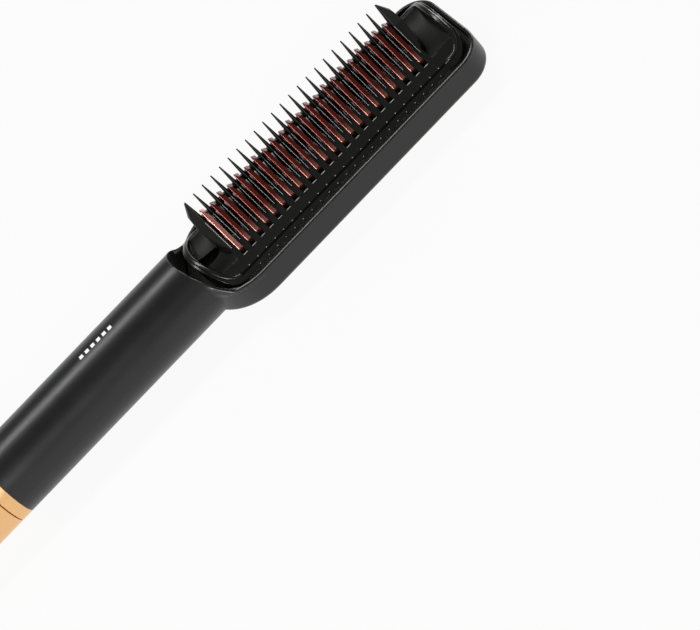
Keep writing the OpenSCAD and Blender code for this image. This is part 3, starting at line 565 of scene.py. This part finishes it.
def dish_height(x, y, x0, x1, edge):
    """Height of a hollow from x0 to x1, whose outer edge at this y lies at edge."""
    middle = (x0 + x1) / 2
    z = eased_max(trough(x - middle, DISH_R), trough(y, DISH_WIDE_R), DISH_EASE)
    to_plate = x1 - x if edge < middle else x - x0
    for distance in (abs(x - edge), to_plate, COVER_HALF - DISH_INSET - abs(y)):
        z = eased_max(z, trough(max(DISH_FILLET - max(distance, 0.0), 0.0), DISH_FILLET), FILLET_EASE)
    return min(z + LINER_UP, crown_height(y) - LINER_DOWN)


def outline_x(half, y):
    """Place along the comb at which an outline's half has the width y."""
    for (xa, ya), (xb, yb) in zip(half, half[1:]):
        if ya <= y <= yb:
            return xa + (xb - xa) * ((y - ya) / (yb - ya) if yb > ya else 0.0)
    return half[-1][0]


def dish_liner(upper, x0, x1, wall, rows=40, columns=22):
    """Thin liner of one hollow; upper is the outline's half round it, and wall is its side at the plates."""
    reach = COVER_HALF - DISH_INSET - LINER_GAP
    points = []
    for layer in (0.0, -LINER_T):
        for i in range(rows + 1):
            y = reach * math.sin(math.pi / 2 * (2 * i / rows - 1))
            edge = outline_x(upper, abs(y))
            for k in range(columns + 1):
                x = edge + (wall - edge) * (1 - math.cos(math.pi * k / columns)) / 2
                points.append((x, y, dish_height(x, y, x0, x1, edge) + layer))
    across, under = columns + 1, (rows + 1) * (columns + 1)
    faces = []
    for i in range(rows):
        for k in range(columns):
            a = i * across + k
            quad = (a, a + 1, a + 1 + across, a + across)
            faces += [quad, tuple(v + under for v in reversed(quad))]
    rim = list(range(across)) + [i * across + columns for i in range(1, rows + 1)]
    rim += [rows * across + k for k in range(columns - 1, -1, -1)]
    rim += [i * across for i in range(rows - 1, 0, -1)]
    faces += [(a, b, b + under, a + under) for a, b in zip(rim, rim[1:] + rim[:1])]
    return mesh_of("dish_liner", points, faces)


def dish_liners():
    """Liners of both hollows, in the duller finish of the guard plates."""
    upper = sorted((p for p in cover_path(DISH_INSET) if p[1] >= 0), key=lambda p: p[1])
    middle, halves = (COVER_START + COVER_END) / 2, []
    for (x0, x1), near in ((NEAR_DISH, True), (FAR_DISH, False)):
        half = [p for p in upper if (p[0] < middle) == near]
        half = [p for p in half if abs(p[0] - half[0][0]) < DISH_LENGTH]
        halves.append(dish_liner(half, x0, x1, x1 if near else x0))
    liners = finish_piece(joined("dish_liners", halves), "dish_liners", "cover")
    liners.data.materials[0] = MATERIALS["guard"]


def dish_rings():
    """Broad rounded edge of the cover round both hollows, a little proud of its flat ring."""
    meshes = []
    for (x0, x1), near in ((NEAR_DISH, True), (FAR_DISH, False)):
        ring = []
        for x, y in cover_path(RING_INSET):
            if x0 <= x <= x1:
                sink = max(1 - (x1 - x if near else x - x0) / RING_FADE, 0.0)
                ring.append((x, y, crown_height(y) + RING_UP - RING_SINK * sink * sink))
        ring.sort(key=lambda p: math.atan2(p[1], x1 - p[0]) if near else math.atan2(-p[1], p[0] - x0))
        meshes.append(swept("dish_ring", ring, round_section(RING_R, 14, RING_FLAT), closed=False))
    finish_piece(joined("dish_rings", meshes), "dish_rings", "cover")


dish_liners()
dish_rings()


# Rows of small features, made by Geometry Nodes

ROW_INPUTS = [("Count", "NodeSocketInt", 10), ("First", "NodeSocketVector", (0, 0, 0)),
              ("Step", "NodeSocketVector", (0.0045, 0, 0)), ("Material", "NodeSocketMaterial", None)]


def new_tree(name, inputs):
    tree = bpy.data.node_groups.new(name, "GeometryNodeTree")
    ids = {}
    for label, kind, value in ROW_INPUTS + inputs:
        socket = tree.interface.new_socket(label, in_out="INPUT", socket_type=kind)
        if value is not None:
            socket.default_value = value
        ids[label] = socket.identifier
    tree.interface.new_socket("Geometry", in_out="OUTPUT", socket_type="NodeSocketGeometry")
    return tree, tree.nodes.new("NodeGroupInput").outputs, ids


def repeated(tree, sizes, shape):
    """End of a tree: the shape at each place of the row, made real and given its material."""
    link = tree.links.new
    row = tree.nodes.new("GeometryNodeMeshLine")
    link(sizes["Count"], row.inputs["Count"])
    link(sizes["First"], row.inputs["Start Location"])
    link(sizes["Step"], row.inputs["Offset"])
    spread = tree.nodes.new("GeometryNodeInstanceOnPoints")
    link(row.outputs["Mesh"], spread.inputs["Points"])
    link(shape, spread.inputs["Instance"])
    real = tree.nodes.new("GeometryNodeRealizeInstances")
    link(spread.outputs["Instances"], real.inputs["Geometry"])
    coat = tree.nodes.new("GeometryNodeSetMaterial")
    link(real.outputs["Geometry"], coat.inputs["Geometry"])
    link(sizes["Material"], coat.inputs["Material"])
    link(coat.outputs["Geometry"], tree.nodes.new("NodeGroupOutput").inputs["Geometry"])
    return spread


def row_tree():
    """A straight row of flat-topped studs: count, first place, step between them, size and tilt."""
    tree, sizes, ids = new_tree("stud_row", [
        ("Size", "NodeSocketVector", (0.001, 0.001, 0.001)), ("Tilt", "NodeSocketFloat", 0.0)])
    stud = add(tree, "GeometryNodeMeshCylinder", Vertices=14, Radius=0.5, Depth=1.0)
    spread = repeated(tree, sizes, stud.outputs["Mesh"])
    turn = tree.nodes.new("ShaderNodeCombineXYZ")
    tree.links.new(sizes["Tilt"], turn.inputs["X"])
    tree.links.new(turn.outputs[0], spread.inputs["Rotation"])
    tree.links.new(sizes["Size"], spread.inputs["Scale"])
    return tree, ids


def bead_tree():
    """A row of thin rounded edges, each running from a foot over a shoulder to a tip."""
    tree, sizes, ids = new_tree("bead_row", [
        ("Foot", "NodeSocketVector", (0, 0, 0)), ("Shoulder", "NodeSocketVector", (0, 0, 0)),
        ("Tip", "NodeSocketVector", (0, 0, 0)), ("Foot Radius", "NodeSocketFloat", 0.0003),
        ("Spike Radius", "NodeSocketFloat", 0.0002)])
    link = tree.links.new
    both = tree.nodes.new("GeometryNodeJoinGeometry")
    for a, b, size in (("Foot", "Shoulder", "Foot Radius"), ("Shoulder", "Tip", "Spike Radius")):
        run = tree.nodes.new("GeometryNodeCurvePrimitiveLine")
        link(sizes[a], run.inputs["Start"])
        link(sizes[b], run.inputs["End"])
        ring = add(tree, "GeometryNodeCurvePrimitiveCircle", Resolution=8)
        link(sizes[size], ring.inputs["Radius"])
        tube = tree.nodes.new("GeometryNodeCurveToMesh")
        tube.inputs["Fill Caps"].default_value = True
        link(run.outputs["Curve"], tube.inputs["Curve"])
        link(ring.outputs["Curve"], tube.inputs["Profile Curve"])
        link(tube.outputs["Mesh"], both.inputs["Geometry"])
    repeated(tree, sizes, both.outputs["Geometry"])
    return tree, ids


ROW_TREE, ROW_IDS = row_tree()
BEAD_TREE, BEAD_IDS = bead_tree()


def made_by(tree, ids, name, values):
    """Plain mesh that a tree makes from its named values."""
    holder = bpy.data.objects.new(name + "_maker", bpy.data.meshes.new(name + "_maker"))
    bpy.context.scene.collection.objects.link(holder)
    maker = holder.modifiers.new("row", "NODES")
    maker.node_group = tree
    for label, value in values.items():
        maker[ids[label]] = value
    holder.update_tag()
    view = bpy.context.evaluated_depsgraph_get()
    mesh = bpy.data.meshes.new_from_object(holder.evaluated_get(view))
    holder.modifiers.remove(maker)
    bpy.data.objects.remove(holder)
    return mesh


def lifted(place):
    """Place in millimetres above the handle's middle, in metres above the table."""
    return metres((place[0], place[1], place[2] + AXIS_HEIGHT))


def bead_row(name, slot, count, first, step, foot, shoulder, tip, foot_radius, spike_radius):
    """Row of edge beads; first is in millimetres above the handle's middle, the rest are offsets."""
    return made_by(BEAD_TREE, BEAD_IDS, name, {
        "Count": count, "First": lifted(first), "Step": metres((step, 0, 0)), "Foot": metres(foot),
        "Shoulder": metres(shoulder), "Tip": metres(tip), "Foot Radius": foot_radius * MM,
        "Spike Radius": spike_radius * MM, "Material": MATERIALS[slot]})


def stud_row(name, count, first, size, side):
    """Row of studs along one side of the cover, with their tops tilted outwards."""
    return made_by(ROW_TREE, ROW_IDS, name, {
        "Count": count, "First": lifted(first), "Step": metres((PLATE_PITCH, 0, 0)), "Size": metres(size),
        "Tilt": math.radians(-side * TOP_TILT), "Material": MATERIALS["cover"]})


TOP_TILT = 12
LIP_SIZE, STUD_SIZE = (2.3, 0.42, 0.8), (0.5, 0.5, 0.8)
LIP_SINK, EDGE_STUD_SINK, STEP_STUD_RISE = 0.27, 0.25, 0.05
EDGE_STUD_Y, STEP_STUD_Y, STEP_STUD_SHIFT = 17.2, 18.32, 3.24


def crown_details():
    """Flat lips at the ends of the slots and two rows of studs along each side of the cover."""
    lips, studs = [], []
    for side in (-1, 1):
        lip = (PLATE_START + PLATE_PITCH / 2, side * SLOT_HALF, crown_height(SLOT_HALF) - LIP_SINK)
        edge = (PLATE_START, side * EDGE_STUD_Y, crown_height(EDGE_STUD_Y) - EDGE_STUD_SINK)
        step_z = crown_height(STEP_STUD_Y, COVER_STEP) + STEP_STUD_RISE
        step = (PLATE_START + STEP_STUD_SHIFT, side * STEP_STUD_Y, step_z)
        lips.append(stud_row("slot_lip", PLATE_COUNT - 1, lip, LIP_SIZE, side))
        studs.append(stud_row("edge_stud", PLATE_COUNT, edge, STUD_SIZE, side))
        studs.append(stud_row("step_stud", PLATE_COUNT, step, STUD_SIZE, side))
    finish_piece(joined("slot_lips", lips), "slot_lips", "cover", smooth=False)
    finish_piece(joined("crown_studs", studs), "crown_studs", "cover", smooth=False)


def plate_edges():
    """Rounded edges along both slants of each guard plate, from its foot over the shoulder to the tip.

    The small numbers here and in fin_edges are how far the line lies inside the piece's outline.
    """
    beads = []
    for side in (-1, 1):
        foot = (0, side * (PLATE_HALF - 0.22), crown_height(PLATE_HALF) - 0.1)
        shoulder = (0, side * (SHOULDER_HALF - 0.15), SHOULDER_TOP - 0.2)
        tip = (0, side * (TIP_HALF - 0.18), PLATE_TOP - 0.3)
        beads.append(bead_row("plate_edge", "cover", PLATE_COUNT, (PLATE_START, 0, 0), PLATE_PITCH,
                              foot, shoulder, tip, foot_radius=0.44, spike_radius=0.27))
    finish_piece(joined("plate_edges", beads), "plate_edges", "cover")


def fin_edges():
    """Rounded edges of the hot fins on their tail side, in turn for the tall and the low ones."""
    beads, tail_side, count = [], 0.62, (PLATE_COUNT - 1) // 2
    for start, top in ((0, FIN_TALL), (1, FIN_LOW)):
        x = PLATE_START + PLATE_PITCH * (start + 0.5) - tail_side
        for side in (-1, 1):
            foot = (0, side * (FIN_HALF - 0.2), crown_height(FIN_HALF) - 0.1)
            middle = (0, side * FIN_HALF / 2, (crown_height(FIN_HALF) + top) / 2 - 0.15)
            tip = (0, side * 0.5, top - 0.5)
            beads.append(bead_row("fin_edge", "copper_coat", count, (x, 0, 0), PLATE_PITCH * 2,
                                  foot, middle, tip, foot_radius=0.3, spike_radius=0.28))
    finish_piece(joined("fin_edges", beads), "fin_edges", "copper_coat")


crown_details()
plate_edges()
fin_edges()


# Gold frame around the back panel, lofted from its outlines

def frame_ring(inset, height):
    """Ring on the frame's outline, pulled in by inset; its height counts from the frame's lowest line."""
    outline = arched(FRAME_START, FRAME_END, FRAME_HALF, FRAME_ARCH_R, FRAME_NEAR_R, FRAME_FAR_R, inset)
    return [(x, y, FRAME_LOW + height) for x, y in outline]


def window_ring(grow, height):
    """Ring round the panel's window, grown outwards."""
    outline = arched(WINDOW_START - grow, WINDOW_END + grow, WINDOW_HALF + grow,
                     WINDOW_ARCH_R + grow, WINDOW_NEAR_R + grow, WINDOW_FAR_R + grow)
    return [(x, y, FRAME_LOW + height) for x, y in outline]


def gold_frame():
    """Frame with a raised bead, a groove inside it and a slope down to the panel."""
    seat = FRAME_SEAT - FRAME_LOW
    outer = ((0.05, seat), (0.05, 0.75), (0.1, 0.5), (0.25, 0.25), (0.5, 0.08), (0.8, 0.0), (1.1, 0.08),
             (1.35, 0.25), (1.5, 0.45), (1.62, 0.55), (1.8, 0.55), (1.95, 0.42), (2.1, 0.2), (2.3, 0.1),
             (2.6, 0.08))
    inner = ((1.0, 0.5), (0.35, 0.72), (0.1, 0.85), (0.0, 1.0), (0.0, seat))
    rings = [frame_ring(*place) for place in outer] + [window_ring(*place) for place in inner]
    points = [point for ring in rings for point in ring]
    mesh = mesh_of("gold_frame", points, tube_faces(len(rings), len(rings[0]), True))
    piece = finish_piece(mesh, "gold_frame", "gold_bright")
    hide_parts("badge_frame")


gold_frame()


# Floor, lights and camera

FLOOR_WIDTH, FLOOR_HEIGHT = 8.0, -0.0002
FLOOR_COLOUR = (0.6, 0.6, 0.6, 1)
FLOOR_GLOW = 0.92           # share of plain white that the camera and reflections see
WHITE = (1, 1, 1, 1)


def make_floor():
    """Pale floor just under the table plane: seen by the camera and in reflections it is near white,
    with a faint shadow of the comb, and the light that it throws back is that of its own grey."""
    bpy.ops.mesh.primitive_plane_add(size=FLOOR_WIDTH, location=(0, 0, FLOOR_HEIGHT))
    floor = bpy.context.object
    floor.name = "studio_floor"
    material, tree, shader = new_material("floor_white")
    shader.inputs["Base Color"].default_value = FLOOR_COLOUR
    shader.inputs["Roughness"].default_value = 0.9
    glow = add(tree, "ShaderNodeEmission", Color=WHITE, Strength=1.0)
    path = add(tree, "ShaderNodeLightPath")
    mirrored = math_node(tree, "ADD", path.outputs["Is Glossy Ray"], path.outputs["Is Transmission Ray"])
    seen = math_node(tree, "ADD", path.outputs["Is Camera Ray"], mirrored, clamp=True)
    mixer = add(tree, "ShaderNodeMixShader")
    out = tree.nodes["Material Output"]
    tree.links.new(math_node(tree, "MULTIPLY", seen, FLOOR_GLOW), mixer.inputs[0])
    tree.links.new(shader.outputs[0], mixer.inputs[1])
    tree.links.new(glow.outputs[0], mixer.inputs[2])
    tree.links.new(mixer.outputs[0], out.inputs["Surface"])
    floor.data.materials.append(material)


def area_light(name, place, target, width, depth, power):
    data = bpy.data.lights.new(name, "AREA")
    data.energy = power
    data.shape = "RECTANGLE"
    data.size, data.size_y = width, depth
    lamp = bpy.data.objects.new(name, data)
    bpy.context.scene.collection.objects.link(lamp)
    lamp.location = place
    lamp.rotation_euler = (Vector(target) - Vector(place)).to_track_quat("-Z", "Y").to_euler()


def make_world():
    """Pale round the horizon and darker overhead, like a studio's walls under a dark ceiling."""
    world = bpy.data.worlds.new("studio_world")
    bpy.context.scene.world = world
    world.use_nodes = True
    tree = world.node_tree
    back = tree.nodes["Background"]
    back.inputs["Color"].default_value = WHITE
    split = add(tree, "ShaderNodeSeparateXYZ")
    tree.links.new(add(tree, "ShaderNodeTexCoord").outputs["Generated"], split.inputs[0])
    tree.links.new(ramp(tree, split.outputs["Z"], 0.02, 0.35, 0.9, 0.16), back.inputs["Strength"])


def make_lights():
    make_world()
    area_light("lamp_over", (0.0, 0.5, 1.07), (0, 0, 0), 1.2, 0.2, power=8.0)
    area_light("lamp_left", (-1.2, -0.38, 0.26), (0.05, 0, 0.02), 0.8, 0.4, power=7.0)
    area_light("lamp_front_left", (-0.66, -0.8, 0.54), (0.05, 0, 0.03), 0.42, 0.3, power=9.0)
    area_light("lamp_right", (1.05, 0.62, 0.2), (0.05, 0, 0.02), 0.6, 0.35, power=8.0)


def make_camera():
    """Camera solved from the photograph: its place, the way it looks and its roll."""
    place = Vector((39.1, -728.5, 656.2)) * MM
    forward = Vector((-0.0052, 0.7161, -0.6980)).normalized()
    up = Vector((0.7201, 0.4870, 0.4943)).normalized()
    right = forward.cross(up).normalized()
    up = right.cross(forward).normalized()
    data = bpy.data.cameras.new("photo_camera")
    data.lens = 135.13
    data.sensor_width = 36.0
    data.clip_start = 0.01
    camera = bpy.data.objects.new("photo_camera", data)
    bpy.context.scene.collection.objects.link(camera)
    turned = Matrix((right, up, -forward)).transposed().to_4x4()
    camera.matrix_world = Matrix.Translation(place) @ turned
    bpy.context.scene.camera = camera


make_floor()
make_lights()
make_camera()
bpy.context.scene.view_settings.view_transform = "Standard"
